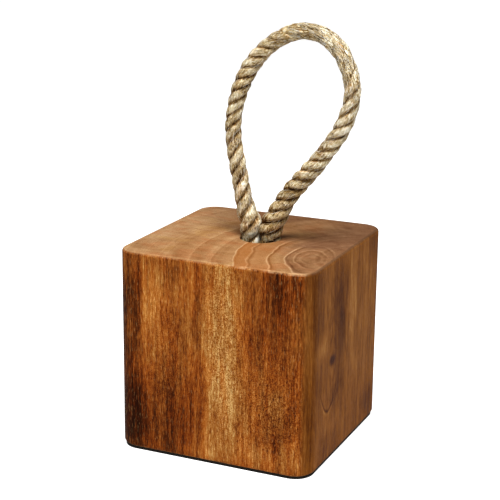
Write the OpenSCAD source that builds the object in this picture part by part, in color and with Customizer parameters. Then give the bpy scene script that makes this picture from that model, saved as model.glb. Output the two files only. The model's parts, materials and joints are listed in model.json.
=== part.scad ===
// Weighted block door stop: a solid hardwood cube with a hand loop of
// three-strand rope. Both rope ends are whipped and glued into one blind hole
// in the top of the block. A thin anti-slip pad covers the underside.
// Origin: on the floor, under the centre of the block. +Z is up, -Y is the front.

/* [Block] */
// Width of the block, left to right
block_w = 120; // [100:1:150]
// Depth of the block, front to back
block_d = 120; // [100:1:150]
// Height of the wood, without the pad
block_h = 118.5; // [100:0.5:150]
// Radius of the four upright edges
edge_r = 12; // [6:1:18]
// Radius of the top and bottom edges
rim_r = 2; // [1:0.5:6]

/* [Base pad] */
// Thickness of the anti-slip pad
pad_t = 1.5; // [1:0.5:4]
// How far the pad stops short of the block's sides
pad_inset = 1; // [0.5:0.5:8]

/* [Rope hole] */
// Diameter of the blind hole
bore_d = 24; // [24:0.5:30]
// Depth of the hole
bore_depth = 50; // [48:1:70]
// Offset of the hole from the block's centre, left to right
bore_x = 4; // [-10:0.5:10]
// Diameter of the mark left by the drill's centre point
spur_d = 5; // [3:0.5:6]
// Depth of that mark
spur_depth = 3; // [2:0.5:5]

/* [Rope] */
// Diameter of the rope
rope_d = 10.6; // [9:0.1:11]
// Diameter of the rope where it is opened out at the mouth of the hole
mouth_d = 11.3; // [10.8:0.1:11.4]
// Length of one full turn of a strand
lay = 24; // [20:1:32]
// Height of the loop's centre line above the block
loop_h = 122; // [110:1:140]
// Distance between the two legs in the hole
leg_gap = 12; // [12:0.2:12.6]
// Length of rope inside the block
buried = 46; // [40:1:46]
// Length between two cross-sections of a strand
step = 2; // [1.6:0.2:3]

/* [Whipping] */
// Height of the binding round each rope end
whip_h = 12; // [8:1:16]
// Thickness of the binding
whip_t = 0.5; // [0.4:0.1:0.6]

/* [Flex lines] */
// Height of the lower fold axis above the block
fold1_z = 20; // [18:1:24]
// Height of the upper fold axis above the block
fold2_z = 44; // [40:1:50]
// Furthest the rope bends at each fold line, either way
fold_deg = 50; // [30:5:50]

/* [Hidden] */
top_z = pad_t + block_h;
bore_r = bore_d / 2;
fine_fn = 96;
plug_clear = 0.05;
plug_floor = 2.5;
plug_below_mouth = 4;
passage_d = leg_gap + 0.2;
whip_clear = 0.1;
anchor_below_mouth = 0.3;
neck_start = 6;
tip_gap = 0.8;
tip_scale = 0.08;
fold_clear = 0.3;
flare_len = 22;
span_steps = 14;

// The loop's centre line in the XZ plane, measured from the mouth of the hole.
// The middle points are fractions of loop_h: the loop is a tear-drop that
// leans to the right.
leg_x = leg_gap / 2;
shape = [[-0.058, 0.05], [-0.111, 0.287], [-0.148, 0.541], [-0.093, 0.762],
         [0.033, 0.926], [0.201, 1.0], [0.352, 0.945], [0.438, 0.770],
         [0.410, 0.590], [0.295, 0.410], [0.139, 0.217], [0.060, 0.05]];
ctrl = concat([[-leg_x, -2 * buried], [-leg_x, -buried], [-leg_x, -2]],
              [for (p = shape) p * loop_h],
              [[leg_x, -2], [leg_x, -buried], [leg_x, -2 * buried]]);

function spline(a, b, c, d, u) =
    0.5 * (2 * b + (c - a) * u + (2 * a - 5 * b + 4 * c - d) * u * u
           + (3 * b - a - 3 * c + d) * u * u * u);

line = concat([for (i = [1 : len(ctrl) - 3], k = [0 : span_steps - 1])
                  spline(ctrl[i - 1], ctrl[i], ctrl[i + 1], ctrl[i + 2], k / span_steps)],
              [ctrl[len(ctrl) - 2]]);
last = len(line) - 1;
arc = [for (i = 0, s = 0; i <= last; s = s + (i < last ? norm(line[i + 1] - line[i]) : 0), i = i + 1) s];
rope_len = arc[last];

// Index of the piece of the centre line that holds arc length s
function seg(s, lo = 0, hi = last) =
    hi - lo <= 1 ? lo
    : let (m = floor((lo + hi) / 2)) arc[m] <= s ? seg(s, m, hi) : seg(s, lo, m);

// Point and direction of the centre line at arc length s
function at(s) = let (i = seg(s)) line[i] + (line[i + 1] - line[i]) * (s - arc[i]) / (arc[i + 1] - arc[i]);
function dir(s) = let (a = at(max(s - 1, 0)), b = at(min(s + 1, rope_len))) (b - a) / norm(b - a);

// Arc length at which the left leg rises through height z, and the right leg falls through it
function rise(z) = [for (i = [0 : last - 1]) if (line[i].y <= z && line[i + 1].y > z)
    arc[i] + (arc[i + 1] - arc[i]) * (z - line[i].y) / (line[i + 1].y - line[i].y)][0];
function fall(z) = [for (i = [0 : last - 1]) if (line[i].y > z && line[i + 1].y <= z)
    arc[i] + (arc[i + 1] - arc[i]) * (line[i].y - z) / (line[i].y - line[i + 1].y)][0];

// Rope radius at height z: opened out near the mouth of the hole
function rope_r(z) = rope_d / 2 + (mouth_d - rope_d) / 2 * max(0, 1 - pow(z / flare_len, 2));

// Section of one strand as [angle, fraction of the rope's radius]. Each strand
// keeps inside its own third of the rope.
strand_sec = [[-54, 0.68], [-35, 0.93], [0, 1], [35, 0.93], [54, 0.68], [45, 0.22], [-45, 0.22]];
sec_n = len(strand_sec);

// One ring of points: strand number k at arc length s, with the section scaled by f
function ring(k, s, f) =
    let (c = at(s), t = dir(s), r = f * rope_r(c.y), turn = 360 * s / lay + 120 * k)
    [for (p = strand_sec)
        let (u = r * p[1] * cos(p[0] + turn), v = r * p[1] * sin(p[0] + turn))
        [c.x + u * t.y, v, c.y - u * t.x]];

// Distance from a fold line, along the rope, at which a full cross-section
// stays clear of the rope on the other side when the line is fully bent
function fold_room(s) =
    let (t = dir(s), c = abs(t.y))
    (rope_d / 2 * sqrt(t.x * t.x + pow(tan(fold_deg / 2), 2)) + fold_clear) / c;

// One strand between arc lengths s0 and s1. An end at a fold line (fold0 or
// fold1 true) comes down to a small tip just short of it; any other end is square.
module strand(k, s0, s1, fold0, fold1)
{
    a = fold0 ? s0 + fold_room(s0) : s0;
    b = fold1 ? s1 - fold_room(s1) : s1;
    n = ceil((b - a) / step);
    stations = concat(fold0 ? [[s0 + tip_gap, tip_scale]] : [],
                      [for (i = [0 : n]) [a + (b - a) * i / n, 1]],
                      fold1 ? [[s1 - tip_gap, tip_scale]] : []);
    m = len(stations);
    pts = [for (q = stations) each ring(k, q[0], q[1])];
    sides = [for (i = [0 : m - 2], j = [0 : sec_n - 1])
        let (p = i * sec_n + j, q = i * sec_n + (j + 1) % sec_n, r = p + sec_n, t = q + sec_n)
        each (j == sec_n - 1 ? [[p, r, q], [q, r, t]] : [[p, t, q], [p, r, t]])];
    caps = [[for (j = [0 : sec_n - 1]) j],
            [for (j = [sec_n - 1 : -1 : 0]) (m - 1) * sec_n + j]];
    translate([bore_x, 0, top_z])
        polyhedron(points = pts, faces = concat(caps, sides), convexity = 8);
}

module strand_color(k)
{
    color([[0.72, 0.61, 0.43], [0.76, 0.66, 0.48], [0.68, 0.57, 0.39]][k]) children();
}

// Rope inside the hole: the left and the right leg of one strand
module anchor(k)
{
    strand_color(k) {
        strand(k, rise(-buried + 0.01), rise(-anchor_below_mouth), false, false);
        strand(k, fall(-anchor_below_mouth), fall(-buried + 0.01), false, false);
    }
}

// From the mouth up to the lower fold line
module neck(k)
{
    strand_color(k) {
        strand(k, rise(neck_start), rise(fold1_z), false, true);
        strand(k, fall(fold1_z), fall(neck_start), true, false);
    }
}

// Between the two fold lines
module mid(k)
{
    strand_color(k) {
        strand(k, rise(fold1_z), rise(fold2_z), true, true);
        strand(k, fall(fold2_z), fall(fold1_z), true, true);
    }
}

// The hand loop above the upper fold line
module loop(k)
{
    strand_color(k) strand(k, rise(fold2_z), fall(fold2_z), true, true);
}

// A flat rectangle with round corners
module round_rect(w, d, r)
{
    square([w - 2 * r, d], center = true);
    square([w, d - 2 * r], center = true);
    for (x = [-1, 1], y = [-1, 1])
        translate([x * (w / 2 - r), y * (d / 2 - r)]) circle(r, $fn = fine_fn);
}

// The cube: two crossed slabs with rounded long edges, and a turned post at each corner
module cube_body()
{
    translate([0, 0, block_h / 2]) {
        rotate([90, 0, 90]) translate([0, 0, -block_w / 2 + edge_r])
            linear_extrude(block_w - 2 * edge_r) round_rect(block_d, block_h, rim_r);
        rotate([90, 0, 0]) translate([0, 0, -block_d / 2 + edge_r])
            linear_extrude(block_d - 2 * edge_r) round_rect(block_w, block_h, rim_r);
    }
    for (x = [-1, 1], y = [-1, 1])
        translate([x * (block_w / 2 - edge_r), y * (block_d / 2 - edge_r), 0])
            rotate_extrude($fn = fine_fn) post_profile();
}

// Half section of a corner post
module post_profile()
{
    square([edge_r - rim_r, block_h]);
    translate([0, rim_r]) square([edge_r, block_h - 2 * rim_r]);
    for (z = [rim_r, block_h - rim_r])
        translate([edge_r - rim_r, z]) circle(rim_r, $fn = fine_fn);
}

module wood_block()
{
    color([0.62, 0.39, 0.2])
        difference() {
            translate([0, 0, pad_t]) cube_body();
            translate([bore_x, 0, top_z - bore_depth]) cylinder(h = bore_depth + 1, d = bore_d, $fn = fine_fn);
            translate([bore_x, 0, top_z - bore_depth - spur_depth])
                cylinder(h = spur_depth + 0.01, d1 = 0.4, d2 = spur_d, $fn = 48);
        }
}

module base_pad()
{
    color([0.11, 0.1, 0.09])
        linear_extrude(pad_t)
            round_rect(block_w - 2 * pad_inset, block_d - 2 * pad_inset, edge_r - pad_inset);
}

// Set adhesive: a floor under the rope ends, and the fill in front of and behind them
module adhesive_plug()
{
    floor_z = top_z - bore_depth + plug_clear;
    color([0.45, 0.44, 0.37])
        translate([bore_x, 0, floor_z])
            difference() {
                cylinder(h = bore_depth - plug_below_mouth, r = bore_r - plug_clear, $fn = fine_fn);
                for (x = [-leg_x, leg_x])
                    translate([x, 0, plug_floor])
                        cylinder(h = bore_depth, d = passage_d, $fn = 64);
            }
}

module end_whipping(side)
{
    r = rope_d / 2 + whip_clear;
    color([0.85, 0.82, 0.72])
        translate([bore_x + side * leg_x, 0, top_z - buried])
            difference() {
                cylinder(h = whip_h, r = r + whip_t, $fn = 64);
                translate([0, 0, -1]) cylinder(h = whip_h + 2, r = r, $fn = 64);
            }
}

wood_block();
base_pad();
adhesive_plug();
end_whipping(-1);  // end_whipping_left
end_whipping(1);  // end_whipping_right
anchor(0);  // strand_a_anchor
anchor(1);  // strand_b_anchor
anchor(2);  // strand_c_anchor
neck(0);  // strand_a_neck
neck(1);  // strand_b_neck
neck(2);  // strand_c_neck
mid(0);  // strand_a_mid
mid(1);  // strand_b_mid
mid(2);  // strand_c_mid
loop(0);  // strand_a_loop
loop(1);  // strand_b_loop
loop(2);  // strand_c_loop
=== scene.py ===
import json
import math
import bpy
import numpy as np
from mathutils import Quaternion, Vector
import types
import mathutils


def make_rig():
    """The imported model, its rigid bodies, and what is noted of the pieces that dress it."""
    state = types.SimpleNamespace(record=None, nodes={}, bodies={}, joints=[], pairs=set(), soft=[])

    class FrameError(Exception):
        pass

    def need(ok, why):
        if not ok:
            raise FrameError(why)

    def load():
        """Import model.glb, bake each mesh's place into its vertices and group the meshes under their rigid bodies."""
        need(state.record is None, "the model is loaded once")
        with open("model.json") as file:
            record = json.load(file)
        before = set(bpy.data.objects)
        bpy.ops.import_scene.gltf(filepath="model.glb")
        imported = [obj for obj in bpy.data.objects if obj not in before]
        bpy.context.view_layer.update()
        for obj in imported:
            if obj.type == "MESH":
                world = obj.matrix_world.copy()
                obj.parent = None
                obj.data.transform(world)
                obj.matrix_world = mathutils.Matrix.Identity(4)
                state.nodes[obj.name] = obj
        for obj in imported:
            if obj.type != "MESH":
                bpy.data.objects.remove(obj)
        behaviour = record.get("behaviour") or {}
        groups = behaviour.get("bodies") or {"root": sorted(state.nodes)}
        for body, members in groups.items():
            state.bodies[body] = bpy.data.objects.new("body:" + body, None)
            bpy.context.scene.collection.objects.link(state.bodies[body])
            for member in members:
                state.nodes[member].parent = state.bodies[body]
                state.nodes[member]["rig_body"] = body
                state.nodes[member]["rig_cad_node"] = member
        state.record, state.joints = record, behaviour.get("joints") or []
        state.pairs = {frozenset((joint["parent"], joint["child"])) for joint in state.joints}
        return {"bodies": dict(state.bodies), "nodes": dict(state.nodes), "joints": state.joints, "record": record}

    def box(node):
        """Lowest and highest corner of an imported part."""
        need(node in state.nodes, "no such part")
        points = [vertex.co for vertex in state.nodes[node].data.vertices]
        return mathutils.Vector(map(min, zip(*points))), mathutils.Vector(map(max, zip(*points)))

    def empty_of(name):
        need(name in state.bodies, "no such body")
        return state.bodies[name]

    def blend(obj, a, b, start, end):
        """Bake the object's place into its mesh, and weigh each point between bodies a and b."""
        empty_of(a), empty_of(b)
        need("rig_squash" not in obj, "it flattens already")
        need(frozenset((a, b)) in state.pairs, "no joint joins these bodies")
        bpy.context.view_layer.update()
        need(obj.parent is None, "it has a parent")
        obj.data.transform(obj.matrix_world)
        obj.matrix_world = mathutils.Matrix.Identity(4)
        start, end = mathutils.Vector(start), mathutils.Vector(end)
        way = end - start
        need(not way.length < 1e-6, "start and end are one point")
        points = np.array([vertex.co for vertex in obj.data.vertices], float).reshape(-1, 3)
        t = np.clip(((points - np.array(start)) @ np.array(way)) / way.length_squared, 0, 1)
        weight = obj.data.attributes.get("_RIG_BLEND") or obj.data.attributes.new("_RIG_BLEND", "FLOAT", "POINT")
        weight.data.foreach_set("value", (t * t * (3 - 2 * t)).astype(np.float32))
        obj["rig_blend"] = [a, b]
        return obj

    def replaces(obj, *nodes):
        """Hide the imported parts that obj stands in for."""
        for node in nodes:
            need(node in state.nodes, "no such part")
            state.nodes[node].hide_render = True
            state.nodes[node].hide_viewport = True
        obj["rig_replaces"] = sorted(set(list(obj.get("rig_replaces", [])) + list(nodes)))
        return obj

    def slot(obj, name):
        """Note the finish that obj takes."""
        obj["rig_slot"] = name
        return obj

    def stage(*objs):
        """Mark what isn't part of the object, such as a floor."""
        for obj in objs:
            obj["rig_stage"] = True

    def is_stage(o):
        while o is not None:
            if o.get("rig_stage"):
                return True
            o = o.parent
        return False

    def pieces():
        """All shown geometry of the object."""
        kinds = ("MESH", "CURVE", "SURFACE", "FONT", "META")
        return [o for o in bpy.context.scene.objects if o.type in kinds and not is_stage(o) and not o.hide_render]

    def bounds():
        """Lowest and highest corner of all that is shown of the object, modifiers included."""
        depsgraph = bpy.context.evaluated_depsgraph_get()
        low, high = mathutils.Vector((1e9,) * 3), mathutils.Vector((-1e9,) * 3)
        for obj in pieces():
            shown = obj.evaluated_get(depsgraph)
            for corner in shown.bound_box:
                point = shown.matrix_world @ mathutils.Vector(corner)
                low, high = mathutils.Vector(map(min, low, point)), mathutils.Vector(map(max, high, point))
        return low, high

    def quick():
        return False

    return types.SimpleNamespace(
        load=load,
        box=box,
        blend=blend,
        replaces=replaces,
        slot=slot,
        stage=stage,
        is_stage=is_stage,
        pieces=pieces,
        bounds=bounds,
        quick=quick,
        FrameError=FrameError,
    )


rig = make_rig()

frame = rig.load()
cad_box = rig.bounds()

MM = 0.001
scene = bpy.context.scene


# ---------------------------------------------------------------- node helpers
class Sock:
    """A node socket that can be used in sums."""

    def __init__(self, tree, out):
        self.tree = tree
        self.out = out

    def __add__(self, other):
        return self.tree.math("ADD", self, other)

    __radd__ = __add__

    def __sub__(self, other):
        return self.tree.math("SUBTRACT", self, other)

    def __rsub__(self, other):
        return self.tree.math("SUBTRACT", other, self)

    def __mul__(self, other):
        return self.tree.math("MULTIPLY", self, other)

    __rmul__ = __mul__

    def __truediv__(self, other):
        return self.tree.math("DIVIDE", self, other)

    def __pow__(self, other):
        return self.tree.math("POWER", self, other)


class Tree:
    """A material's node tree, with short calls for the nodes used here."""

    def __init__(self, name):
        self.mat = bpy.data.materials.new(name)
        self.mat.use_nodes = True
        self.nt = self.mat.node_tree
        self.nt.nodes.clear()
        surface = self.nt.nodes.new("ShaderNodeOutputMaterial")
        self.bsdf = self.nt.nodes.new("ShaderNodeBsdfPrincipled")
        self.nt.links.new(self.bsdf.outputs[0], surface.inputs[0])

    def put(self, socket, value):
        if isinstance(value, Sock):
            self.nt.links.new(value.out, socket)
        elif value is not None:
            socket.default_value = value

    def new(self, kind, **props):
        node = self.nt.nodes.new(kind)
        for key, value in props.items():
            setattr(node, key, value)
        return node

    def math(self, operation, a, b=None):
        node = self.new("ShaderNodeMath", operation=operation)
        for socket, value in zip(node.inputs, (a, b)):
            self.put(socket, value)
        return Sock(self, node.outputs[0])

    def point(self):
        """Object-space position in millimetres."""
        place = self.new("ShaderNodeTexCoord")
        scaled = self.new("ShaderNodeVectorMath", operation="SCALE")
        self.nt.links.new(place.outputs["Object"], scaled.inputs[0])
        scaled.inputs["Scale"].default_value = 1.0 / MM
        return Sock(self, scaled.outputs[0])

    def split(self, vector):
        node = self.new("ShaderNodeSeparateXYZ")
        self.put(node.inputs[0], vector)
        return [Sock(self, out) for out in node.outputs]

    def join(self, x, y, z):
        node = self.new("ShaderNodeCombineXYZ")
        for socket, value in zip(node.inputs, (x, y, z)):
            self.put(socket, value)
        return Sock(self, node.outputs[0])

    def attr(self, name, kind="Fac"):
        node = self.new("ShaderNodeAttribute", attribute_name=name)
        return Sock(self, node.outputs[kind])

    def normal(self):
        node = self.new("ShaderNodeNewGeometry")
        return self.split(Sock(self, node.outputs["Normal"]))

    def noise(self, vector, scale=(1, 1, 1), detail=2.0, rough=0.5, dist=0.0, off=(0, 0, 0)):
        """Noise with its cells for each unit along X, Y and Z."""
        mapping = self.new("ShaderNodeMapping")
        self.put(mapping.inputs["Vector"], vector)
        mapping.inputs["Scale"].default_value = scale
        mapping.inputs["Location"].default_value = off
        node = self.new("ShaderNodeTexNoise", noise_dimensions="3D")
        self.nt.links.new(mapping.outputs[0], node.inputs["Vector"])
        node.inputs["Scale"].default_value = 1.0
        node.inputs["Detail"].default_value = detail
        node.inputs["Roughness"].default_value = rough
        node.inputs["Distortion"].default_value = dist
        return Sock(self, node.outputs["Fac"])

    def noise_along(self, value, scale, detail, rough=0.5):
        """Noise of one number."""
        node = self.new("ShaderNodeTexNoise", noise_dimensions="1D")
        self.put(node.inputs["W"], value)
        node.inputs["Scale"].default_value = scale
        node.inputs["Detail"].default_value = detail
        node.inputs["Roughness"].default_value = rough
        return Sock(self, node.outputs["Fac"])

    def step(self, value, lo, hi, a=0.0, b=1.0):
        """Smooth step from a at lo to b at hi, where lo may be the larger of the two."""
        if lo > hi:
            lo, hi, a, b = hi, lo, b, a
        node = self.new("ShaderNodeMapRange", interpolation_type="SMOOTHSTEP")
        self.put(node.inputs["Value"], value)
        for key, bound in zip(("From Min", "From Max", "To Min", "To Max"), (lo, hi, a, b)):
            self.put(node.inputs[key], bound)
        return Sock(self, node.outputs[0])

    def ramp(self, value, stops):
        node = self.new("ShaderNodeValToRGB")
        self.put(node.inputs[0], value)
        elements = node.color_ramp.elements
        while len(elements) < len(stops):
            elements.new(0.5)
        for element, (position, colour) in zip(elements, stops):
            element.position = position
            element.color = (*colour, 1)
        return Sock(self, node.outputs[0])

    def mix(self, factor, a, b, mode="MIX"):
        node = self.new("ShaderNodeMix", data_type="RGBA", blend_type=mode)
        for socket, value in ((node.inputs[0], factor), (node.inputs[6], a), (node.inputs[7], b)):
            self.put(socket, (*value, 1) if isinstance(value, tuple) else value)
        return Sock(self, node.outputs[2])

    def bump(self, height, strength, distance):
        node = self.new("ShaderNodeBump")
        node.inputs["Strength"].default_value = strength
        node.inputs["Distance"].default_value = distance
        self.put(node.inputs["Height"], height)
        return Sock(self, node.outputs[0])

    def finish(self, colour, rough, normal=None, **rest):
        self.put(self.bsdf.inputs["Base Color"], colour)
        self.put(self.bsdf.inputs["Roughness"], rough)
        self.put(self.bsdf.inputs["Normal"], normal)
        for key, value in rest.items():
            self.put(self.bsdf.inputs[key.replace("_", " ")], value)
        return self.mat


def swing(noise, amount):
    """A noise as a swing either side of zero."""
    return (noise - 0.5) * amount


def oval(t, u, w, centre_u, centre_w, half_u, half_w):
    """Distance from a centre, counted in half widths of an oval."""
    du = (u - centre_u) / half_u
    dw = (w - centre_w) / half_w
    return t.math("SQRT", du * du + dw * dw)


def blob(t, u, w, centre_u, centre_w, half_u, half_w, amount):
    """A soft oval patch in two coordinates."""
    away = oval(t, u, w, centre_u, centre_w, half_u, half_w)
    return t.math("EXPONENT", away * away * -1.0) * amount


def ridge(t, value, at, half):
    """A soft line where value is near at."""
    away = (value - at) / half
    return t.math("EXPONENT", away * away * -1.0)


def patches(t, u, w, rows):
    """The sum of several soft patches."""
    total = blob(t, u, w, *rows[0])
    for row in rows[1:]:
        total = total + blob(t, u, w, *row)
    return total


# ---------------------------------------------------------------- wood
# Places and sizes are in millimetres, from the middle of the block's underside.
# The pith stands just outside the right face, and one branch knot runs out from it.
PITH_X = 74.0
PITH_Y = -18.0
KNOT_Y = -24.0
KNOT_Z = 61.0
KNOT_HALF = (4.6, 3.0)
SWIRL_HALF = (11.0, 25.0)
RING_WIDTH = 13.0
# On the top the rings close into leaning ovals round the heart; these are their half widths
HEART_X = 48.0
HEART_Y = -30.0
HEART_LEAN = 0.22
HEART_STRETCH = 2.0
RINGS = (5.2, 8.9, 14.1, 24.4, 36.4, 44.0)
# Half width of a ring's pale line, and of the darker line that far inside it
PALE_HALF = 0.55
DARK_HALF = 0.75
DARK_INSIDE = 1.3
# The line below the knot is an arch: the place of its lowest point from the knot, and its bend
ARCH_Y = -5.0
ARCH_Z = -29.0
ARCH_BEND = 0.085
# The block's right face and its top
SIDE_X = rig.box("wood_block")[1][0] / MM
TOP_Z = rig.box("wood_block")[1][2] / MM
# Colour patches: place across, place up, half width, half height, strength
FRONT_DARK = [(-58, 80, 8, 36, 0.3), (-24, 22, 20, 30, 1.0), (42, 104, 14, 24, 1.1), (36, 74, 9, 22, 0.6),
              (40, 26, 9, 24, 0.5), (-48, 22, 12, 20, 0.9), (54, 70, 7, 40, 0.4)]
FRONT_LIGHT = [(8, 84, 12, 44, 0.75), (0, 8, 12, 10, 0.8), (29, 9, 12, 8, 0.8), (8, 40, 12, 30, 0.5),
               (-35, 92, 12, 26, 0.65), (54, 12, 8, 12, 0.5)]
FRONT_WAVY = [(8, 75, 11, 60, 1.0), (38, 40, 22, 34, 0.9), (-28, 60, 14, 40, 0.45)]
RIGHT_DARK = [(-50, 100, 10, 24, 1.1), (-14, 98, 12, 20, 0.9), (-10, 68, 9, 20, 0.6), (42, 17, 14, 8, 0.9),
              (-52, 30, 8, 20, 0.5), (40, 112, 12, 10, 0.4)]
RIGHT_LIGHT = [(-40, 71, 9, 6, 0.9), (8, 94, 7, 30, 0.6), (-36, 108, 6, 18, 0.4), (-30, 24, 14, 6, 0.5),
               (24, 60, 14, 40, 0.3), (-30, 46, 8, 12, 0.3)]
# Colours from the darkest grain to the palest
LONG_GRAIN = [(0.0, (0.018, 0.004, 0.0012)), (0.2, (0.06, 0.0125, 0.0022)), (0.38, (0.16, 0.034, 0.0044)),
              (0.52, (0.275, 0.07, 0.0094)), (0.68, (0.378, 0.121, 0.0195)), (0.84, (0.51, 0.22, 0.05)),
              (1.0, (0.74, 0.42, 0.14))]
RIGHT_GRAIN = [(0.0, (0.04, 0.009, 0.002)), (0.3, (0.125, 0.037, 0.006)), (0.5, (0.24, 0.082, 0.014)),
               (0.7, (0.37, 0.145, 0.032)), (1.0, (0.65, 0.36, 0.13))]
PALE_END = [(0.0, (0.12, 0.042, 0.013)), (0.35, (0.28, 0.128, 0.045)), (0.55, (0.39, 0.2, 0.082)),
            (0.75, (0.5, 0.29, 0.135)), (1.0, (0.72, 0.47, 0.26))]
BROWN_END = [(0.0, (0.06, 0.022, 0.009)), (0.35, (0.15, 0.063, 0.028)), (0.55, (0.215, 0.1, 0.046)),
             (0.8, (0.31, 0.165, 0.084)), (1.0, (0.42, 0.25, 0.14))]
ORANGE_END = (0.36, 0.125, 0.028)
KNOT_CORE = (0.045, 0.011, 0.008)
OPEN_VESSEL = (0.045, 0.014, 0.004)
FILLED_VESSEL = (0.72, 0.4, 0.15)
# Top-edge rim: partly rubbed wear, partly a painted highlight
RIM_WEAR_AND_HIGHLIGHT = (0.78, 0.48, 0.24)
SHADED_RIM = (0.11, 0.055, 0.028)
# Painted shade round the rounded upright edges
UPRIGHT_EDGE_SHADE = (0.09, 0.03, 0.008)


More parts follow.
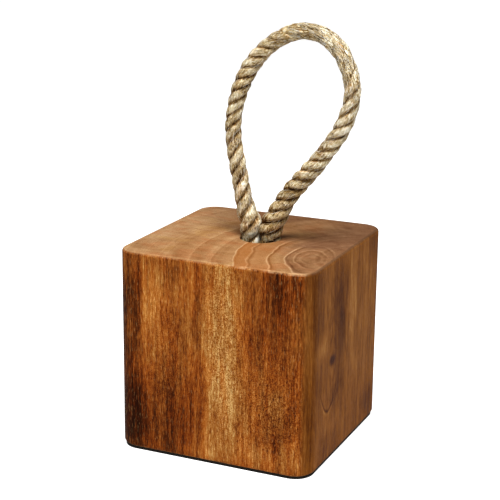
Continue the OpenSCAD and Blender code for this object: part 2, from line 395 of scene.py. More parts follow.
class Wood(Tree):
    """Oiled hardwood: long grain on the upright faces, growth rings on the top."""

    def __init__(self):
        super().__init__("oiled_hardwood")
        self.p = self.point()
        self.x, self.y, self.z = self.split(self.p)
        nx, ny, nz = self.normal()
        across = self.math("SQRT", nx * nx + ny * ny + 0.0001)
        self.upward = self.math("ABSOLUTE", nz)
        self.end = self.step(self.upward, 0.6, 0.9)
        self.right = self.step(nx / across, 0.45, 0.8)
        self.front = self.step(ny / across, -0.1, -0.5)
        # streaks drawn out along Z, from the finest to the broadest
        self.fine = self.noise(self.p, (1.9, 1.9, 0.22), 3.0, 0.7)
        self.thin = self.noise(self.p, (0.8, 0.8, 0.035), 4.0, 0.75, 0.3)
        self.band = self.noise(self.p, (0.28, 0.28, 0.03), 3.0, 0.6, 0.6)
        self.broad = self.noise(self.p, (0.06, 0.06, 0.03), 3.0, 0.6, 0.6)
        # even in every direction
        self.speck = self.noise(self.p, (1.6, 1.6, 1.6), 4.0, 0.75)
        self.cloud = self.noise(self.p, (0.05, 0.05, 0.05), 4.0, 0.6, 0.8)
        self.grow_rings()

    def grow_rings(self):
        """Distance from the pith, with slow wander and a swirl round the knot, and the tones it gives."""
        wander_x = self.noise(self.p, (0.013, 0.013, 0.008), 1.5)
        wander_y = self.noise(self.p, (0.013, 0.013, 0.008), 1.5, off=(40, 7, 3))
        self.wobble = self.noise(self.p, (0.1, 0.1, 0.01), 3.0)
        rx = self.x - PITH_X + swing(wander_x, 6.0)
        ry = (self.y - PITH_Y) * 0.93 + swing(wander_y, 6.0)
        self.from_pith = self.math("SQRT", rx * rx + ry * ry)
        self.bearing = self.math("ARCTAN2", ry, rx)
        self.from_knot = oval(self, self.y, self.z, KNOT_Y, KNOT_Z, *SWIRL_HALF)
        self.near_knot = (self.math("EXPONENT", self.from_knot * self.from_knot * -0.5)
                          * self.step(self.x, 10.0, 62.0))
        bent = self.from_pith + swing(self.wobble, 2.5) + self.from_knot * self.near_knot * 14.0
        self.ring_tone = self.noise_along(bent, 0.16, 3.0, 0.65)
        season = self.math("FRACT", bent / RING_WIDTH + self.noise_along(bent, 0.03, 1.0) * 1.5)
        self.late = season ** 3.0
        self.line = self.step(season, 0.0, 0.05) * self.step(season, 0.15, 0.07)

    def clear_rings(self):
        """How far out from the heart a point of the top is, and the pale and dark lines of its rings."""
        back = self.y - HEART_Y
        swell = self.noise(self.p, (0.07, 0.05, 0.02), 1.0, off=(8, 2, 4))
        out = oval(self, self.x + back * HEART_LEAN, back, HEART_X, 0.0, 1.0, HEART_STRETCH)
        out = out + swing(swell, 6.0) + swing(self.wobble, 2.0)
        pale = 0.0
        dark = 0.0
        for half_width in RINGS:
            pale = pale + ridge(self, out, half_width, PALE_HALF)
            dark = dark + ridge(self, out, half_width - DARK_INSIDE, DARK_HALF)
        return out, pale, dark

    def long_grain(self):
        """Front, left and back: streaks and heartwood patches, with a wavy figure on the front."""
        worm = self.noise(self.p, (0.6, 0.6, 0.48), 1.0, 0.5, 1.6)
        ripple = self.math("MAXIMUM", 1.0 - self.math("ABSOLUTE", swing(worm, 12.0)), -0.45)
        wavy = self.math("MINIMUM", patches(self, self.x, self.z, FRONT_WAVY) + 0.12, 1.0) * self.front
        self.figure = ripple * wavy
        light = patches(self, self.x, self.z, FRONT_LIGHT)
        dark = patches(self, self.x, self.z, FRONT_DARK)
        column = (self.step(self.x + swing(self.band, 6.0), -39.5, -46.5)
                  * self.step(self.z, 116.0, 84.0, 0.5, 1.1))
        layout = self.front * (light - dark - column)
        layout = layout + (1.0 - self.front) * (1.0 - self.right) * swing(self.broad, 3.5)
        tone = (0.52 + swing(self.fine, 1.25) + swing(self.thin, 1.0) * (1.0 - wavy * 0.45)
                + swing(self.band, 0.75) + swing(self.broad, 0.3) + swing(self.ring_tone, 0.15)
                + layout * 0.23 + self.figure * 0.3 - self.late * 0.04 + self.line * 0.04)
        hue = self.noise(self.p, (0.13, 0.13, 0.022), 3.0, 0.6, 0.4, off=(3, 8, 1))
        tint = self.mix(self.step(hue, 0.4, 0.6), (1.02, 0.92, 0.78), (0.96, 1.05, 1.12))
        return self.mix(1.0, self.ramp(tone, LONG_GRAIN), tint, "MULTIPLY")

    def right_face(self):
        """The face cut along the rings: duller, with the knot and an arched line below it."""
        along = self.y - KNOT_Y - ARCH_Y
        above = self.z - KNOT_Z - ARCH_Z
        arch = above - along * along * ARCH_BEND + swing(self.wobble, 5.0)
        reach = self.step(self.math("ABSOLUTE", along), 15.0, 10.0)
        arch_dark = ridge(self, arch, 0.0, 0.9) * reach
        arch_pale = ridge(self, arch, -2.0, 1.2) * reach
        turn = self.math("FRACT", self.from_knot * 2.2 + swing(self.broad, 1.6))
        swirl = self.step(turn, 0.0, 0.2) * self.step(turn, 0.6, 0.25) * self.near_knot
        seam = (ridge(self, self.y + (self.z - 71.0) * 0.2 + swing(self.broad, 4.0), -4.0, 0.8)
                * self.step(self.z, 54.0, 60.0) * self.step(self.z, 90.0, 80.0))
        stripe = ridge(self, self.y + swing(self.broad, 6.0), 5.0, 1.3) * self.step(self.z, 66.0, 76.0)
        layout = patches(self, self.y, self.z, RIGHT_LIGHT) - patches(self, self.y, self.z, RIGHT_DARK)
        tone = (0.5 + swing(self.fine, 0.5) + swing(self.thin, 0.65) + swing(self.band, 0.55)
                + swing(self.broad, 0.5) + swing(self.ring_tone, 0.4) + layout * 0.22
                - arch_dark * 0.34 + arch_pale * 0.14 - swirl * 0.1 - seam * 0.2 + stripe * 0.14)
        low = self.step(self.z + self.y * 0.3, 58.0, 34.0)
        tint = self.mix(low, (0.98, 0.95, 0.86), (0.9, 0.82, 0.6))
        colour = self.mix(1.0, self.ramp(tone, RIGHT_GRAIN), tint, "MULTIPLY")
        core = oval(self, self.y, self.z, KNOT_Y, KNOT_Z, *KNOT_HALF) + swing(self.thin, 1.8)
        return self.mix(self.step(core, 1.5, 0.5) * 0.9, colour, KNOT_CORE)

    def end_grain(self):
        """The top: rings clearest near the heart, and browner wood towards the back right."""
        out, pale_line, dark_line = self.clear_rings()
        arcs = self.step(self.y + swing(self.cloud, 14.0), 4.0, -12.0)
        clear = arcs * self.step(out, 4.0, 14.0, 0.3, 1.0) * self.step(self.x, 57.0, 47.0, 0.3, 1.0)
        self.relief = (pale_line - dark_line) * arcs
        outward = self.join(self.bearing * 60.0, self.from_pith * 0.05, self.z)
        rays = self.noise(outward, detail=3.0, rough=0.6)
        mottle = self.noise(self.p, (0.11, 0.16, 0.1), 4.0, 0.65, 1.0, off=(2, 6, 9))
        tone = (0.5 + swing(self.speck, 0.6) + swing(self.cloud, 0.45) + swing(mottle, 0.5)
                + swing(rays, 0.25) + swing(self.ring_tone, 0.3) - self.late * 0.08 + self.line * 0.04
                + pale_line * clear * (0.16 + self.speck * 0.35) - dark_line * clear * 0.26)
        patch = self.noise(self.p, (0.045, 0.07, 0.05), 3.0, 0.6, 0.5, off=(5, 9, 2))
        pale = self.ramp(tone, PALE_END)
        pale = self.mix(self.step(patch, 0.48, 0.62) * 0.5, pale, (1.0, 0.74, 0.62), "MULTIPLY")
        pale = self.mix(self.step(patch, 0.46, 0.34) * 0.5, pale, (1.1, 1.12, 0.9), "MULTIPLY")
        # Painted light: the left part of the top is paler and cooler
        pale = self.mix(self.step(self.x - self.y * 0.2, -24.0, -52.0), pale, (1.08, 1.2, 1.38), "MULTIPLY")
        back_right = self.step(self.x * 0.75 + self.y * 0.85 + swing(self.cloud, 80.0), -22.0, 52.0)
        right_edge = self.step(self.x, 16.0, 34.0) * self.step(self.y + swing(self.cloud, 20.0), -16.0, -4.0)
        shade = self.math("MAXIMUM", back_right, right_edge)
        # Painted light: the brown is lightened where the right leg's cast shadow falls on the top
        shade = shade * (1.0 - blob(self, self.x, self.y, 22.0, 34.0, 15.0, 24.0, 0.65))
        inner, middle, outer, outermost = RINGS[2:]
        dim = self.step(out, inner + 1.9, inner - 1.1) * arcs * 0.6
        colour = self.mix(self.math("MAXIMUM", shade, dim), pale, self.ramp(tone, BROWN_END))
        bands = self.step(out, outer - 1.5, outer + 0.5) + self.step(out, middle - 6.4, middle + 1.1) * 0.9
        warm = arcs * self.step(out, outermost + 0.6, outermost - 0.6) * bands
        return self.mix(warm * 0.33, colour, ORANGE_END)

    def vessels(self, colour):
        """Short dashes along the grain: dark open vessels, and paler filled ones."""
        self.pore = self.step(self.noise(self.p, (1.7, 1.7, 0.16)), 0.6, 0.68)
        self.fleck = self.step(self.noise(self.p, (2.0, 2.0, 0.25), off=(11, 3, 5)), 0.6, 0.68)
        colour = self.mix(self.pore * (0.45 - self.right * 0.25), colour, OPEN_VESSEL)
        return self.mix(self.fleck * (1.0 - self.end) * (0.2 - self.right * 0.14), colour, FILLED_VESSEL)

    def edge_wear_and_painted_light(self, colour):
        """Lighter along the top edges, partly rubbed wear and partly a painted highlight; a painted shadow line where
        the top meets the right face, and painted shade round the upright edges.
        """
        rim = self.step(self.z, TOP_Z - 1.6, TOP_Z - 0.8) * self.step(self.upward, 0.999, 0.95)
        worn = self.step(self.noise(self.p, (0.16, 0.16, 0.16), 4.0, 0.7), 0.35, 0.6)
        more_on_right = 0.15 + self.step(self.x, -10.0, 20.0) * 0.3
        short_of_side = self.step(self.x, SIDE_X - 2.0, SIDE_X - 5.0)
        # Lighter along the top edges, stronger to the right: partly rubbed wear, partly a painted highlight
        colour = self.mix(rim * worn * short_of_side * more_on_right, colour, RIM_WEAR_AND_HIGHLIGHT)
        at_side = self.step(self.x, SIDE_X - 3.5, SIDE_X - 1.5)
        colour = self.mix(rim * at_side * 0.55, colour, SHADED_RIM)
        # Painted shade: darker round the rounded upright edges
        nearest_side = self.math("MINIMUM", self.math("ABSOLUTE", self.x), self.math("ABSOLUTE", self.y))
        return self.mix(self.step(nearest_side, 53.0, 59.0) * 0.35, colour, UPRIGHT_EDGE_SHADE)

    def build(self):
        upright = self.mix(self.right, self.long_grain(), self.right_face())
        colour = self.mix(self.end, upright, self.end_grain())
        colour = self.edge_wear_and_painted_light(self.vessels(colour))
        height = (self.fine * 0.5 + self.thin * 0.4 - self.pore * 0.9 + self.fleck * 0.2 + self.figure * 0.8
                  + self.speck * self.end * 0.3 + self.relief * self.end * 0.5)
        rough = 0.5 + swing(self.band, 0.25) + self.pore * 0.2 + self.end * 0.1
        return self.finish(colour, rough, self.bump(height, 0.4, 0.5 * MM), Specular_IOR_Level=0.015)


# ---------------------------------------------------------------- other materials
ROPE_COLOURS = [(0.0, (0.045, 0.02, 0.007)), (0.2, (0.17, 0.096, 0.031)), (0.42, (0.4, 0.272, 0.112)),
                (0.6, (0.62, 0.508, 0.298)), (0.8, (0.84, 0.785, 0.61)), (1.0, (1.0, 0.985, 0.9))]


# The underside pad is near black; its edge along the block's foot also stands in for the shade line where the block
# meets the floor
def pad_rubber():
    t = Tree("pad_rubber")
    p = t.point()
    mottle = t.noise(p, (1.4, 1.4, 1.4), 4.0, 0.7)
    cell = t.noise(p, (5.0, 5.0, 5.0))
    colour = t.ramp(mottle, [(0.3, (0.006, 0.005, 0.004)), (0.7, (0.02, 0.017, 0.013))])
    rough = 0.75 + swing(mottle, 0.3)
    return t.finish(colour, rough, t.bump(cell, 0.5, 0.3 * MM), Specular_IOR_Level=0.1)


def set_adhesive():
    t = Tree("set_adhesive")
    cloudy = t.noise(t.point(), (0.5, 0.5, 0.5), 4.0, 0.6)
    colour = t.ramp(cloudy, [(0.3, (0.075, 0.07, 0.05)), (0.7, (0.16, 0.15, 0.115))])
    return t.finish(colour, 0.5 + cloudy * 0.2, t.bump(cloudy, 0.4, 0.5 * MM), Specular_IOR_Level=0.25)


def whipping_twine():
    t = Tree("whipping_twine")
    p = t.point()
    turns = t.math("SINE", t.split(p)[2] * 9.0)
    hairy = t.noise(p, (4.0, 4.0, 4.0), 3.0, 0.6)
    colour = t.ramp(hairy * 0.6 + turns * 0.2 + 0.3, [(0.0, (0.3, 0.26, 0.18)), (1.0, (0.78, 0.73, 0.6))])
    return t.finish(colour, 0.7, t.bump(turns, 0.8, 0.4 * MM))


def rope_fibre():
    """Reads the values that each rope mesh carries: its fibre, its groove, which darkens it as painted shade, its
    paleness, partly real bleaching and partly painted light, and its glue.
    """
    t = Tree("rope_fibre")
    u, v, k = t.split(t.attr("fibre", "Vector"))
    groove = t.attr("groove")
    bleach = t.attr("bleach")
    glue = t.attr("glue")

    def grain(round_scale, along_scale, own_scale, start=0.0, detail=2.0, rough=0.6):
        """Noise drawn out along the yarns, different on each strand."""
        place = t.join(u * round_scale, v * along_scale, k * own_scale + start)
        return t.noise(place, detail=detail, rough=rough)

    fine = grain(42.0, 3.2, 9.0)
    broken = grain(20.0, 4.5, 4.0)
    yarn = grain(12.0, 0.8, 5.0)
    blot = grain(2.0, 1.7, 3.0)
    wide = grain(0.6, 0.6, 0.4, detail=1.0, rough=0.5)
    tan = grain(3.0, 1.0, 5.0, start=20.0)
    # Painted shade: dark specks for the shade in small pits between the fibres
    pit_shade = t.step(grain(9.0, 3.4, 2.0, start=7.0, detail=1.0, rough=0.5), 0.6, 0.74)
    # Painted shade: the tone darkens towards the grooves between strands
    tone = (0.575 + swing(fine, 1.6) + swing(broken, 1.5) + swing(yarn, 0.9) + swing(blot, 1.5)
            + swing(wide, 0.8) + bleach * 0.2 - pit_shade * 0.35 - t.step(groove, 0.0, 0.85) * 0.5)
    colour = t.ramp(tone, ROPE_COLOURS)
    colour = t.mix(t.step(tan, 0.52, 0.68) * 0.55, colour, (0.8, 0.5, 0.26), "MULTIPLY")
    # Where the rope is less pale it turns warmer; the paleness is partly real bleaching and partly painted light
    colour = t.mix(t.step(bleach, 0.9, -0.1), colour, (1.0, 0.93, 0.76), "MULTIPLY")
    # Painted shade: an orange-brown tint in the grooves
    groove_shade = t.step(groove, 0.05, 0.6) * t.step(blot, 0.3, 0.6) * 0.7
    colour = t.mix(groove_shade, colour, (0.92, 0.68, 0.44), "MULTIPLY")
    colour = t.mix(glue * t.step(blot, 0.42, 0.6) * 0.6, colour, (0.17, 0.17, 0.13))
    return t.finish(colour, 0.9, t.bump(fine, 0.8, 0.3 * MM), Specular_IOR_Level=0.15)


MATERIALS = {"oiled_hardwood": Wood().build(), "pad_rubber": pad_rubber(), "set_adhesive": set_adhesive(),
             "whipping_twine": whipping_twine(), "rope_fibre": rope_fibre()}

slots = {part["node"]: part["material_slot"] for part in frame["record"]["subparts"]}
for node_name, cad_object in frame["nodes"].items():
    cad_object.data.materials.clear()
    cad_object.data.materials.append(MATERIALS[slots[node_name]])

# ---------------------------------------------------------------- rope path
# Worked in the loop's plane, in millimetres: across from the hole's centre, and up from the block's top.
ROPE_RADIUS = 5.3
STEP = 0.45
joints = {joint["name"]: joint for joint in frame["record"]["behaviour"]["joints"]}
hole_x = joints["handle_lean"]["pos_m"][0] / MM
whip_low, whip_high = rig.box("end_whipping_right")
leg_x = (whip_low[0] + whip_high[0]) / 2 / MM - hole_x
end_z = whip_low[2] / MM - TOP_Z
loop_top = max(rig.box(f"strand_{letter}_loop")[1][2] for letter in "abc") / MM
loop_h = loop_top - TOP_Z - ROPE_RADIUS

# The loop's centre line above the block, as fractions of its height
SHAPE = [(-0.058, 0.05), (-0.111, 0.287), (-0.148, 0.541), (-0.093, 0.762), (0.033, 0.926),
         (0.201, 1.0), (0.352, 0.945), (0.438, 0.770), (0.410, 0.590), (0.295, 0.410),
         (0.139, 0.217), (0.060, 0.05)]
# Below this height both legs run straight down into the hole
BURIED_TOP = -2
corners = np.array([(-leg_x, 2 * end_z), (-leg_x, end_z), (-leg_x, BURIED_TOP)]
                   + [(across * loop_h, up * loop_h) for across, up in SHAPE]
                   + [(leg_x, BURIED_TOP), (leg_x, end_z), (leg_x, 2 * end_z)])


def spline(points, count=60):
    """Smooth curve through all the points but the first and the last."""
    a, b, c, d = points[:-3, None], points[1:-2, None], points[2:-1, None], points[3:, None]
    u = np.linspace(0, 1, count, endpoint=False)[None, :, None]
    squared = 2 * a - 5 * b + 4 * c - d
    cubed = 3 * b - a - 3 * c + d
    curve = 0.5 * (2 * b + (c - a) * u + squared * u**2 + cubed * u**3)
    return np.vstack([curve.reshape(-1, 2), points[-2]])


def smooth(x, lo, hi):
    """0 below lo, 1 above hi."""
    u = np.clip((x - lo) / (hi - lo), 0, 1)
    return u * u * (3 - 2 * u)


def knots(xs, ys, at):
    """Smooth curve through a few knots."""
    xs = np.array(xs)
    ys = np.array(ys)
    i = np.clip(np.searchsorted(xs, at) - 1, 0, len(xs) - 2)
    return ys[i] + (ys[i + 1] - ys[i]) * smooth(at, xs[i], xs[i + 1])


def softened(values, reach=6):
    """Running mean over reach values each way."""
    width = 2 * reach + 1
    return np.convolve(np.pad(values, reach, "edge"), np.ones(width) / width, "valid")


# stations along the rope: the distance from its left end, the centre line and its direction
path = spline(corners)
path_length = np.r_[0, np.cumsum(np.hypot(*np.diff(path, axis=0).T))]
total = path_length[-1]
run = np.linspace(0, total, int(total / STEP) + 1)
line = np.stack([np.interp(run, path_length, path[:, axis]) for axis in (0, 1)], 1)
heading = np.gradient(line, axis=0)
heading = np.stack([softened(heading[:, axis]) for axis in (0, 1)], 1)
heading /= np.linalg.norm(heading, axis=1)[:, None]
frac = run / total
stations = np.arange(len(run))

# the legs press together near the hole, and the worn stretch bows outward
LEG_PRESS = 1.3
WORN_BOW = 1.0
WORN_AT = 0.575
lower = np.clip(1 - np.abs(line[:, 1] - 9) / 9, 0, 1)
line[:, 0] -= np.sign(line[:, 0]) * LEG_PRESS * smooth(lower, 0, 1)
outward = np.stack([-heading[:, 1], heading[:, 0]], 1)
line += outward * (WORN_BOW * np.exp(-((frac - WORN_AT) / 0.07) ** 2))[:, None]

# thickness, length of lay, paleness and looseness along the rope, left end to right end; the paleness is partly real
# bleaching and partly painted light
height = line[:, 1]
open_end = np.clip(1 - (np.maximum(height, 0) / 22.0) ** 2, 0, 1)
radius = ROPE_RADIUS * knots([0, 0.1, 0.2, 0.3, 0.38, 0.46, 0.6, 0.7, 0.78, 0.86, 1],
                             [1.08, 1.07, 0.94, 0.88, 0.95, 0.84, 0.86, 0.95, 1.06, 1.1, 1.04], frac)
radius = radius + knots([-60, -1, 6, 11, 24, 60], [0.25, 0.35, 1.0, 0.9, 0.0, 0.0], height)
glue = np.clip(1 - np.abs(height - 2) / 7.0, 0, 1)
fray = 0.85 * smooth(frac, 0.42, 0.47) * smooth(0.62 - frac, 0.0, 0.05)
lay = knots([0, 0.2, 0.33, 0.46, 0.53, 0.6, 0.68, 1], [27, 27, 22, 24, 49, 28, 24, 23], frac)
bleach = knots([0, 0.15, 0.3, 0.45, 0.55, 0.65, 0.8, 1], [0.9, 0.5, 0.25, 0.2, 0.35, 0.5, 0.0, -0.9], frac)
twist = np.r_[0, np.cumsum(2 * math.pi * np.diff(run) / lay[1:])]


def at_station(values, station):
    """The value at a station that may fall between two points of the rope."""
    return np.interp(station, stations, values)


def in_space(station, across, sideways):
    """Point beside the rope's centre line, across it in the loop's plane and sideways along Y."""
    x = at_station(line[:, 0], station) + across * at_station(heading[:, 1], station)
    z = at_station(line[:, 1], station) - across * at_station(heading[:, 0], station)
    return np.stack([hole_x + x, sideways, TOP_Z + z], -1)


# ---------------------------------------------------------------- strand surface
# Yarns in a strand, their turns for each turn of the strand, and points round its section
YARNS = 10
YARN_TURN = 1.65
AROUND = 60
# Relief of the surface in millimetres: the yarns, and lumps from coarse to fine
YARN_RELIEF = 0.28
SLACK_RELIEF = 0.2
COARSE_RELIEF = 0.13
FINE_RELIEF = 0.09
# The groove between strands, in rope radii: where it starts, and how much deeper its bottom is; the groove value
# drives the rope's painted shade
GROOVE_FROM = 0.99
GROOVE_DEPTH = 0.24
angles = np.linspace(-math.pi, math.pi, AROUND, endpoint=False)


def lattice(u, v, cells_u, cells_v, seed):
    """Smooth noise, about -1 to 1, periodic in u over 0 to 1, with v from 0 to 1."""
    grid = np.random.default_rng(seed).uniform(-1, 1, (cells_u, cells_v + 2))
    a = (u % 1.0) * cells_u
    b = np.clip(v, 0, 1) * cells_v
    i = np.floor(a).astype(int) % cells_u
    j = np.floor(b).astype(int)
    fa = smooth(a - np.floor(a), 0, 1)
    fb = smooth(b - np.floor(b), 0, 1)
    after = (i + 1) % cells_u
    near = grid[i, j] * (1 - fa) + grid[after, j] * fa
    far = grid[i, j + 1] * (1 - fa) + grid[after, j + 1] * fa
    return near * (1 - fb) + far * fb


def soft_excess(over, width):
    """About zero while over is negative, and about over itself once it is positive."""
    return width * np.log1p(np.exp(np.clip(over / width, -30, 30)))


def wrapped(angle):
    """The same angle between minus and plus half a turn."""
    return (angle + math.pi) % (2 * math.pi) - math.pi


def strand_point(k, station, angle, lift=0.0):
    """Point of strand k at an angle round the strand, lift mm proud, with its groove and yarn values."""
    turn = at_station(twist, station)
    rope_radius = at_station(radius, station)
    place = at_station(frac, station)
    worn = at_station(fray, station)
    loose = at_station(open_end, station)
    yarn = (angle + YARN_TURN * turn) / (2 * math.pi)
    zero = 0 * yarn
    yarn_bulge = np.abs(np.cos(math.pi * YARNS * yarn)) ** 0.55
    slack = SLACK_RELIEF + 0.3 * loose + 0.25 * worn
    proud = (YARN_RELIEF * (yarn_bulge - 0.75)
             + COARSE_RELIEF * lattice(yarn, place, 34, 300, 11 + k)
             + FINE_RELIEF * lattice(yarn, place, 60, 700, 21 + k)
             + slack * lattice(yarn, place, 5, 110, 31 + k))
    proud = (proud + lift) / rope_radius
    # the section, in rope radii, is an oval that reaches from the rope's centre to its outside
    centre = 0.5 - 0.2 * worn + 0.04 * lattice(zero, place, 1, 70, 41 + k)
    reach = np.where(np.cos(angle) > 0, 1.0 - centre, centre) + proud
    out = centre + reach * np.cos(angle)
    side = (0.62 + 0.25 * worn + proud) * np.sin(angle)
    # its flanks are pressed flat against the two strands beside it, a third of a turn away
    limit = math.sqrt(3) * np.maximum(out, 0.0) - 0.015
    side = np.sign(side) * (np.abs(side) - soft_excess(np.abs(side) - limit, 0.1 - 0.06 * worn))
    # loose fibre fills the bottom of the groove between two strands
    from_centre = np.hypot(out, side)
    fill = 0.78 + 0.15 * worn + 0.05 * lattice(zero, place, 1, 170, 51 + k) + lift / rope_radius
    outer_part = smooth(2.1 - np.abs(wrapped(angle)), 0.0, 0.35)
    filled = from_centre + outer_part * soft_excess(fill - from_centre, 0.03)
    scale = filled / (from_centre + 1e-9)
    bearing = turn + 2 * math.pi * k / 3
    across = rope_radius * scale * (out * np.cos(bearing) - side * np.sin(bearing))
    sideways = rope_radius * scale * (out * np.sin(bearing) + side * np.cos(bearing))
    # How deep a point lies in the groove; the material darkens it as painted shade
    groove = np.clip((GROOVE_FROM - filled) / GROOVE_DEPTH, 0, 1)
    return in_space(station, across, sideways), groove, yarn


def float_point(station, bearing, sag, lift):
    """Point of a fibre that lies across the strands and sags a little into the grooves."""
    dip = ((1 - np.cos(3 * (bearing - at_station(twist, station)))) / 2) ** 2
    out = at_station(radius, station) * (1.0 - 0.2 * dip * sag) + lift
    point = in_space(station, out * np.cos(bearing), out * np.sin(bearing))
    # A fibre that sags into a groove carries some of its painted shade
    return point, dip * 0.6, bearing / (2 * math.pi)


# ---------------------------------------------------------------- rope pieces
def station_at(up, rising):
    """The station where the rope passes a height above the block, on its rising or its falling leg."""
    if rising:
        passes = (height[:-1] <= up) & (height[1:] > up)
    else:
        passes = (height[:-1] > up) & (height[1:] <= up)
    return int(np.where(passes)[0][0])


# The bends, as heights above the block's top: a start and an end for each
lean_bend = (-3.0, 7.5)
fold_z = joints["handle_fold"]["pos_m"][2] / MM - TOP_Z
upper_z = joints["handle_fold_upper"]["pos_m"][2] / MM - TOP_Z
fold_bend = (fold_z - 7.5, fold_z + 7.5)
upper_bend = (upper_z - 8.0, upper_z + 8.0)

# The rope is cut into a root, a shank and a loop between its bends
ROOT_TOP = 10.0
SHANK_TOP = (fold_z + upper_z) / 2
root_up, root_down = station_at(ROOT_TOP, True), station_at(ROOT_TOP, False)
shank_up, shank_down = station_at(SHANK_TOP, True), station_at(SHANK_TOP, False)
last = len(run) - 1
# name: stretches of stations, the two bodies that it joins, its bend, and the CAD sections it stands for
PARTS = {
    "root": ([(0, root_up), (root_down, last)], ("block", "rope_neck"), lean_bend, ("anchor", "neck")),
    "shank": ([(root_up, shank_up), (shank_down, root_down)], ("rope_neck", "rope_mid"), fold_bend, ("mid",)),
    "loop": ([(shank_up, shank_down)], ("rope_mid", "rope_loop"), upper_bend, ("loop",)),
}


def part_of(station):
    if station < root_up or station > root_down:
        return "root"
    if station < shank_up or station > shank_down:
        return "shank"
    return "loop"


class Shell:
    """A mesh in the making: points in millimetres, faces, and the values that the material reads."""

    def __init__(self):
        self.points = []
        self.faces = []
        self.values = {"fibre": [], "groove": [], "bleach": [], "glue": []}
        self.count = 0

    def add(self, points, **values):
        """Add points, and return the number of the first of them."""
        first = self.count
        self.points.append(points)
        for name, value in values.items():
            self.values[name].append(value)
        self.count += len(points)
        return first

    def build(self, name):
        mesh = bpy.data.meshes.new(name)
        mesh.from_pydata((np.vstack(self.points) * MM).tolist(), [], self.faces)
        mesh.polygons.foreach_set("use_smooth", [True] * len(mesh.polygons))
        for key, value in self.values.items():
            kind, field = ("FLOAT_VECTOR", "vector") if key == "fibre" else ("FLOAT", "value")
            data = np.ascontiguousarray(np.concatenate(value), np.float32)
            mesh.attributes.new(key, kind, "POINT").data.foreach_set(field, data.ravel())
        mesh.materials.append(MATERIALS["rope_fibre"])
        mesh.update()
        piece = bpy.data.objects.new(name, mesh)
        scene.collection.objects.link(piece)
        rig.slot(piece, "rope_fibre")
        return piece


def strand(k, stretches):
    """Strand k over some stretches of the rope, each a closed tube."""
    shell = Shell()
    for lo, hi in stretches:
        rings = hi + 1 - lo
        station, angle = np.meshgrid(np.arange(lo, hi + 1, dtype=float), angles, indexing="ij")
        points, groove, yarn = strand_point(k, station, angle)
        zero = 0 * yarn
        along = run[lo:hi + 1, None] / 10 + zero
        first = shell.add(points.reshape(-1, 3),
                          fibre=np.stack([yarn, along, k + zero], -1).reshape(-1, 3),
                          groove=groove.ravel(),
                          bleach=(bleach[lo:hi + 1, None] + zero).ravel(),
                          glue=(glue[lo:hi + 1, None] + zero).ravel())
        ring, side = np.meshgrid(np.arange(rings - 1), np.arange(AROUND), indexing="ij")
        a = first + ring * AROUND + side
        b = first + ring * AROUND + (side + 1) % AROUND
        shell.faces += np.stack([a, b, b + AROUND, a + AROUND], -1).reshape(-1, 4).tolist()
        shell.faces.append([first + side for side in range(AROUND - 1, -1, -1)])
        shell.faces.append([first + (rings - 1) * AROUND + side for side in range(AROUND)])
    return shell


# Single fibres: their number and seed, the share that stands off the rope, and sizes in millimetres
FIBRES = 7800
QUICK_FIBRES = 700
FIBRE_SEED = 5
STRAY_SHARE = 0.07
FIBRE_LENGTH = (5, 15)
POINT_SPACING = 1.8
LYING_HALF = (0.05, 0.12)
CROSSING_HALF = (0.07, 0.15)
FIBRE_SIDES = 3


def fibre_start(draw, first, end):
    """A station for a fibre to start from: anywhere, more often on the worn stretch or by the hole."""
    start = draw.uniform(first, end)
    pick = draw.random()
    if pick < 0.24:
        return (0.545 + draw.uniform(-0.085, 0.085)) * len(run)
    if pick < 0.3:
        return first + draw.uniform(0, 25) if draw.random() < 0.5 else end - draw.uniform(0, 25)
    return start


def unbroken(points, keep):
    """Runs of kept points that stay on one part of the rope."""
    current = []
    for m, point in enumerate(points):
        if keep[m]:
            current.append(point)
        ends = not keep[m] or m == len(points) - 1
        if ends or (current and points[m + 1]["part"] != point["part"]):
            if len(current) > 2:
                yield current
            current = []


def draw_fibres(count, seed):
    """Single fibres: along the yarns, across the grooves, and a few standing off the rope."""
    draw = np.random.default_rng(seed)
    found = {part: {"lying": [], "crossing": []} for part in PARTS}
    first = station_at(0.5, True)
    end = station_at(0.5, False)
    for _ in range(count):
        k = int(draw.integers(3))
        start = fibre_start(draw, first, end)
        tousle = at_station(fray, start)
        stray = draw.random() < STRAY_SHARE
        crossing = draw.random() < 0.3 + 0.4 * tousle
        length = draw.uniform(*FIBRE_LENGTH)
        n = 4 + int(length / POINT_SPACING)
        course = np.linspace(0, 1, n)
        station = np.clip(start + course * length / STEP * draw.choice((-1.0, 1.0)), first, end)
        turn = at_station(twist, station) - at_station(twist, start)
        if stray:
            lift = course ** 2 * draw.uniform(0.4, 1.7) + 0.02
        else:
            lift = 0.02 + (0.12 + 0.15 * tousle) * np.sin(course * math.pi) * draw.uniform(0, 1)
        if crossing:
            bearing = at_station(twist, start) + draw.uniform(0, 2 * math.pi)
            bearing = bearing + turn * draw.uniform(0.0, 1.0 - 0.5 * tousle)
            bearing = bearing + draw.uniform(-0.2, 0.2) * course
            place, groove, yarn = float_point(station, bearing, draw.uniform(0.3, 1.0), lift)
            keep = np.ones(n, bool)
            half = draw.uniform(*CROSSING_HALF)
        else:
            angle = draw.uniform(-1.8, 1.8) - YARN_TURN * turn + draw.uniform(-0.25, 0.25) * course
            place, groove, yarn = strand_point(k, station, angle, lift)
            keep = np.abs(wrapped(angle)) < 1.9
            half = draw.uniform(*LYING_HALF)
        half *= 0.6 if stray else 1.0
        points = [{"part": part_of(station[m]), "place": place[m], "half": half * (1 - 0.7 * m / n),
                   "yarn": yarn[m], "station": station[m], "groove": groove[m]} for m in range(n)]
        for piece in unbroken(points, keep):
            found[piece[0]["part"]]["crossing" if crossing else "lying"].append((k, piece))
    return found


def column(points, key):
    return np.array([point[key] for point in points])


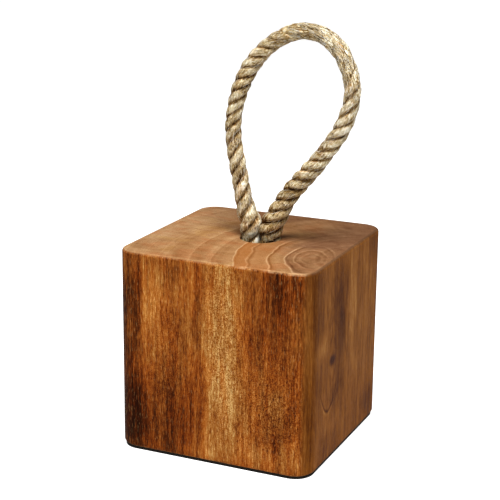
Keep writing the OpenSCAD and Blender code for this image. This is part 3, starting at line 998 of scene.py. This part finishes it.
def fibres(items):
    """One mesh of many fibres, each a thin three-sided closed tube."""
    shell = Shell()
    for k, points in items:
        place = column(points, "place")
        half = column(points, "half")[:, None]
        station = column(points, "station")
        n = len(points)
        along = np.gradient(place, axis=0)
        along /= np.linalg.norm(along, axis=1)[:, None] + 1e-9
        across = np.cross(along, (0.3, 0.9, 0.2))
        across /= np.linalg.norm(across, axis=1)[:, None] + 1e-9
        third = np.cross(along, across)
        shade = 0.15 * ((k * 7 + n * 3 + shell.count) % 5)
        worn_tint = 1.8 if shade < 0.2 else 0.3
        first = shell.count
        for side in range(FIBRE_SIDES):
            angle = 2 * math.pi * side / FIBRE_SIDES
            # Each fibre carries part of the groove's painted shade
            shell.add(place + half * (math.cos(angle) * across + math.sin(angle) * third),
                      fibre=np.stack([np.full(n, points[0]["yarn"] + shade), station * STEP / 10,
                                      np.full(n, k + 3.0)], 1),
                      groove=column(points, "groove") * 0.6,
                      bleach=at_station(bleach - worn_tint * fray, station) + shade * 3.4 - 0.9,
                      glue=at_station(glue, station))
        for m in range(n - 1):
            for side in range(FIBRE_SIDES):
                a = first + side * n + m
                b = first + (side + 1) % FIBRE_SIDES * n + m
                shell.faces.append([a, b, b + 1, a + 1])
        shell.faces.append([first + 2 * n, first + n, first])
        shell.faces.append([first + n - 1, first + 2 * n - 1, first + 3 * n - 1])
    return shell


all_fibres = draw_fibres(QUICK_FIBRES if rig.quick() else FIBRES, FIBRE_SEED)
for part, (stretches, bodies, bend, sections) in PARTS.items():
    pieces = []
    for k, letter in enumerate("abc"):
        piece = strand(k, stretches).build(f"rope_{part}_strand_{letter}")
        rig.replaces(piece, *[f"strand_{letter}_{section}" for section in sections])
        pieces.append(piece)
    for kind, items in all_fibres[part].items():
        pieces.append(fibres(items).build(f"rope_{part}_fibres_{kind}"))
    bend_start, bend_end = [(hole_x * MM, 0, (TOP_Z + up) * MM) for up in bend]
    for piece in pieces:
        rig.blend(piece, *bodies, bend_start, bend_end)

# ---------------------------------------------------------------- studio
FLOOR_HALF = 40
floor_mesh = bpy.data.meshes.new("floor")
floor_corners = [(x * FLOOR_HALF, y * FLOOR_HALF, 0) for x, y in ((-1, -1), (1, -1), (1, 1), (-1, 1))]
floor_mesh.from_pydata(floor_corners, [], [(0, 1, 2, 3)])
floor = bpy.data.objects.new("floor", floor_mesh)
scene.collection.objects.link(floor)
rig.stage(floor)
# the floor and the backdrop look white to the camera, and light the object less than that
FLOOR_GLOW = 0.08
FLOOR_GLOW_SEEN = 0.88
BACKDROP_LIGHT = 0.19
WHITE = (1, 1, 1, 1)
floor_tree = Tree("floor")
to_camera = Sock(floor_tree, floor_tree.new("ShaderNodeLightPath").outputs["Is Camera Ray"])
floor_mesh.materials.append(floor_tree.finish(
    (0.8, 0.8, 0.8, 1), 0.9, Emission_Color=WHITE, Specular_IOR_Level=0.0,
    Emission_Strength=to_camera * (FLOOR_GLOW_SEEN - FLOOR_GLOW) + FLOOR_GLOW))

scene.world = bpy.data.worlds.new("studio")
scene.world.use_nodes = True
sky = scene.world.node_tree
backdrop = sky.nodes["Background"]
backdrop.inputs["Color"].default_value = WHITE
level = sky.nodes.new("ShaderNodeMapRange")
level.inputs["To Min"].default_value = BACKDROP_LIGHT
level.inputs["To Max"].default_value = 1.0
seen = sky.nodes.new("ShaderNodeLightPath")
sky.links.new(seen.outputs["Is Camera Ray"], level.inputs["Value"])
sky.links.new(level.outputs[0], backdrop.inputs["Strength"])


def direction(azimuth, elevation):
    """Unit vector from the object towards a viewer; azimuth 0 is the front."""
    az = math.radians(azimuth)
    el = math.radians(elevation)
    return Vector((math.sin(az) * math.cos(el), -math.cos(az) * math.cos(el), math.sin(el)))


def soft_light(name, azimuth, elevation, distance, size, power):
    """A square soft box that faces the middle of the object."""
    lamp = bpy.data.lights.new(name, "AREA")
    lamp.shape = "SQUARE"
    lamp.size = size
    lamp.energy = power
    light = bpy.data.objects.new(name, lamp)
    back = direction(azimuth, elevation)
    light.location = Vector((0, 0, 0.1)) + back * distance
    light.rotation_euler = (-back).to_track_quat("-Z", "Y").to_euler()
    scene.collection.objects.link(light)
    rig.stage(light)


soft_light("key", 26, 68, 1.1, 0.45, 16.5)
soft_light("fill", 0, 16, 1.5, 0.8, 2.6)

# Camera: towards the near corner, a little from above, with a long lens
CAMERA_AZIMUTH = 23.8
CAMERA_ELEVATION = 19.2
CAMERA_ROLL = 0.63
CAMERA_DISTANCE = 0.8228
CAMERA_LENS = 98.6
SENSOR_WIDTH = 36
AIM_UP = 0.0502
AIM_RIGHT = -0.0024
back = direction(CAMERA_AZIMUTH, CAMERA_ELEVATION)
rightward = Vector((math.cos(math.radians(CAMERA_AZIMUTH)), math.sin(math.radians(CAMERA_AZIMUTH)), 0))
block_centre = Vector((0, 0, (TOP_Z / 2) * MM))
camera_data = bpy.data.cameras.new("camera")
camera_data.lens = CAMERA_LENS
camera_data.sensor_width = SENSOR_WIDTH
camera = bpy.data.objects.new("camera", camera_data)
scene.collection.objects.link(camera)
camera.location = block_centre + back * CAMERA_DISTANCE
aim = block_centre + back.cross(rightward) * AIM_UP + rightward * AIM_RIGHT
facing = (aim - camera.location).normalized().to_track_quat("-Z", "Y")
camera.rotation_mode = "QUATERNION"
camera.rotation_quaternion = facing @ Quaternion((0, 0, 1), math.radians(CAMERA_ROLL))
scene.camera = camera
scene.view_settings.view_transform = "Standard"

with open("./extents.json", "w") as fh:
    json.dump({"cad": [list(map(float, q)) for q in cad_box],
               "visual": [list(map(float, q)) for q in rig.bounds()]}, fh)
